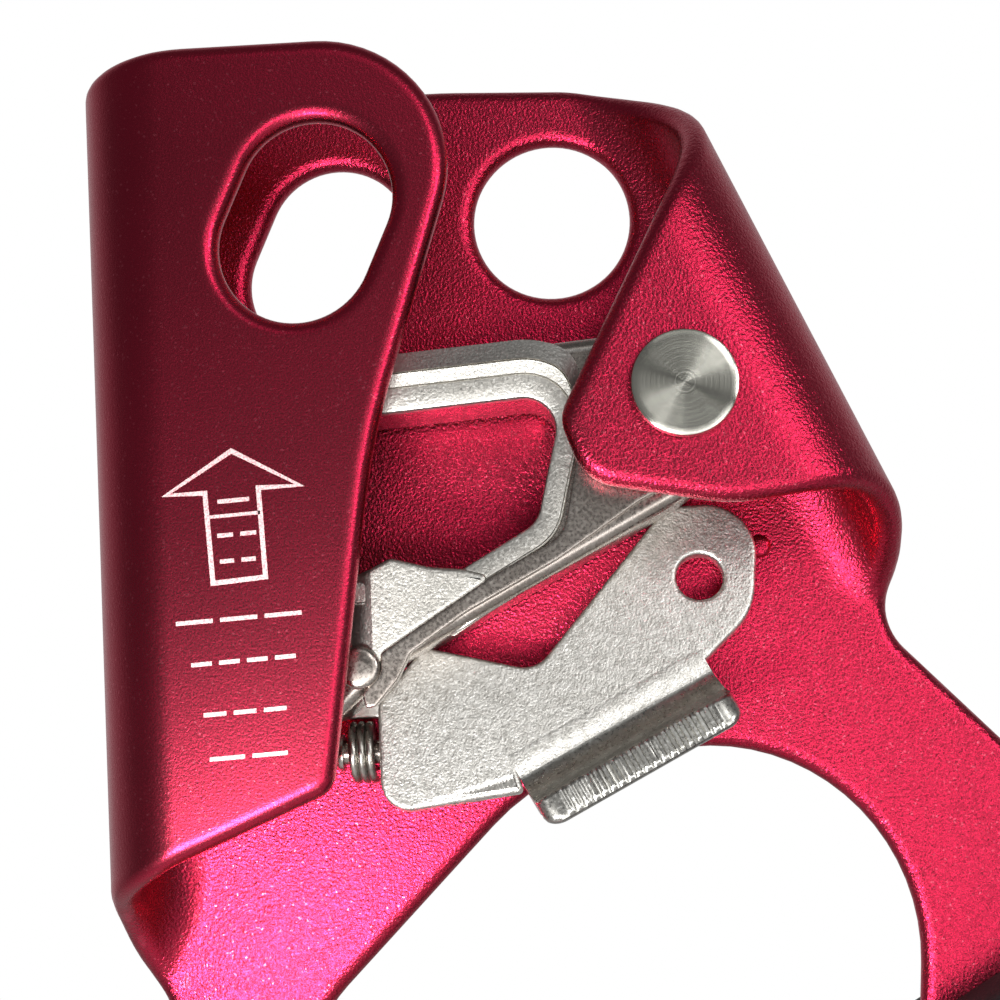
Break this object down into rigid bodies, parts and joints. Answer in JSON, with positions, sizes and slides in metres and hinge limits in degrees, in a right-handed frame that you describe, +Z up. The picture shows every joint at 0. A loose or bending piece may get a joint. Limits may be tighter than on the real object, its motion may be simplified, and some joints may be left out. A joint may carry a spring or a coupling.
{
  "type": "handled rope ascender",
  "caption": "Handled rope ascender: folded anodised frame with an open rope channel, sprung toothed cam, thumb catch and rubber grip.",
  "frame": {"origin": "on the rope's centre line in the channel, level with the cam's pivot", "axes": "+Z up the rope, +X from the rope towards the cam's pivot, +Y towards the back plate, away from the thumb"},
  "size_m": [0.1054, 0.0308, 0.1965],
  "materials": {
    "red_anodised": "blasted and crimson anodised aluminium",
    "rivet_steel": "faced in concentric rings",
    "cam_steel": "cast and bead blasted",
    "catch_steel": "pressed, tumbled and plated",
    "spring_wire": "drawn wire",
    "bush_brass": "turned",
    "thrust_nylon": "moulded",
    "grip_rubber": "moulded, fine texture",
    "black_screw": "black oxide"
  },
  "bodies": {
    "frame": {"frame": "red_anodised", "axle_rivet": "rivet_steel", "rivet_washer": "rivet_steel", "front_washer": "thrust_nylon", "back_washer": "thrust_nylon", "grip_front": "grip_rubber", "grip_back": "grip_rubber", "grip_screw_1": "black_screw", "grip_screw_2": "black_screw", "grip_screw_3": "black_screw", "grip_nut_1": "black_screw", "grip_nut_2": "black_screw", "grip_nut_3": "black_screw"},
    "cam": {"cam": "cam_steel", "cam_bush": "bush_brass", "cam_spring": "spring_wire", "nose_pin": "rivet_steel", "catch_axle": "rivet_steel", "axle_clip": "rivet_steel", "catch_spring": "spring_wire"},
    "catch": {"catch_plate": "catch_steel"}
  },
  "joints": [
    {"name": "cam_swing", "type": "hinge", "parent": "frame", "child": "cam", "pos_m": [0.0507, 0, 0], "axis": [0, -1, 0], "range_deg": [0, 30], "stiffness_Nm_per_rad": 0.12, "springref_deg": -34.38},
    {"name": "catch_tilt", "type": "hinge", "parent": "cam", "child": "catch", "pos_m": [0, 0.0036, -0.0342], "axis": [1, 0, 0], "range_deg": [0, 14], "stiffness_Nm_per_rad": 0.04, "springref_deg": -28.65}
  ]
}
